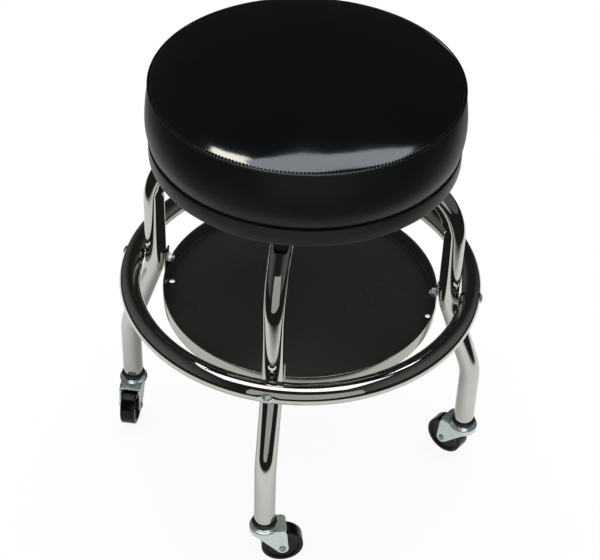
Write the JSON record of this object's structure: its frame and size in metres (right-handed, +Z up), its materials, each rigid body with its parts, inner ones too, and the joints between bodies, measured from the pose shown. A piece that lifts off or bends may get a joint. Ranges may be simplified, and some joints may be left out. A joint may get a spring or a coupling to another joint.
{
  "type": "mechanic stool",
  "caption": "Round padded rolling stool with a swivel seat, bent tube legs, a foot ring, a shallow parts tray and swivel casters.",
  "frame": {"origin": "on the floor under the middle of the seat", "axes": "+Z up along the seat swivel, -Y toward the front leg, +X toward the right leg as seen from the front"},
  "size_m": [0.471, 0.471, 0.5668],
  "materials": {
    "chrome": "bright chrome plate on steel",
    "zinc": "bright zinc plate on pressed steel",
    "black_liner": "satin black moulded liner",
    "black_plastic": "satin black moulding",
    "wheel": "hard black wheel with a smooth tread",
    "plywood": "plywood stained black",
    "band": "satin dark grey coated steel band",
    "foam": "moulded foam",
    "vinyl_side": "satin black vinyl",
    "vinyl_top": "glossy black vinyl"
  },
  "bodies": {
    "frame": {"leg_front": "chrome", "leg_right": "chrome", "leg_back": "chrome", "leg_left": "chrome", "foot_ring": "chrome", "ring_screws": "zinc", "ring_washers": "zinc", "ring_nuts": "zinc", "tray": "chrome", "tray_liner": "black_liner", "leg_bolts": "zinc", "leg_nuts": "zinc", "swivel_base": "zinc", "swivel_race": "zinc", "king_bolt": "zinc", "king_washer": "zinc", "king_nut": "zinc", "caster_sockets": "black_plastic", "caster_stems": "zinc", "caster_races": "zinc"},
    "seat": {"swivel_top": "zinc", "seat_screws": "zinc", "seat_board": "plywood", "seat_band": "band", "seat_foam": "foam", "seat_side": "vinyl_side", "seat_top": "vinyl_top"},
    "caster_front": {"fork_front": "zinc", "axle_front": "zinc"},
    "wheel_body_front": {"wheel_front": "wheel"},
    "caster_right": {"fork_right": "zinc", "axle_right": "zinc"},
    "wheel_body_right": {"wheel_right": "wheel"},
    "caster_back": {"fork_back": "zinc", "axle_back": "zinc"},
    "wheel_body_back": {"wheel_back": "wheel"},
    "caster_left": {"fork_left": "zinc", "axle_left": "zinc"},
    "wheel_body_left": {"wheel_left": "wheel"}
  },
  "joints": [
    {"name": "seat_swivel", "type": "hinge", "parent": "frame", "child": "seat", "pos_m": [0, 0, 0.4631], "axis": [0, 0, 1], "continuous": true},
    {"name": "caster_swivel_front", "type": "hinge", "parent": "frame", "child": "caster_front", "pos_m": [0, -0.2175, 0.057], "axis": [0, 0, 1], "continuous": true},
    {"name": "wheel_spin_front", "type": "hinge", "parent": "caster_front", "child": "wheel_body_front", "pos_m": [0.02076, -0.21155, 0.0254], "axis": [-0.2756, 0.9613, 0], "continuous": true},
    {"name": "caster_swivel_right", "type": "hinge", "parent": "frame", "child": "caster_right", "pos_m": [0.2175, 0, 0.057], "axis": [0, 0, 1], "continuous": true},
    {"name": "wheel_spin_right", "type": "hinge", "parent": "caster_right", "child": "wheel_body_right", "pos_m": [0.19898, 0.01112, 0.0254], "axis": [-0.515, -0.8572, 0], "continuous": true},
    {"name": "caster_swivel_back", "type": "hinge", "parent": "frame", "child": "caster_back", "pos_m": [0, 0.2175, 0.057], "axis": [0, 0, 1], "continuous": true},
    {"name": "wheel_spin_back", "type": "hinge", "parent": "caster_back", "child": "wheel_body_back", "pos_m": [-0.0203, 0.21011, 0.0254], "axis": [0.342, -0.9397, 0], "continuous": true},
    {"name": "caster_swivel_left", "type": "hinge", "parent": "frame", "child": "caster_left", "pos_m": [-0.2175, 0, 0.057], "axis": [0, 0, 1], "continuous": true},
    {"name": "wheel_spin_left", "type": "hinge", "parent": "caster_left", "child": "wheel_body_left", "pos_m": [-0.21675, -0.02159, 0.0254], "axis": [0.9994, 0.0349, 0], "continuous": true}
  ]
}
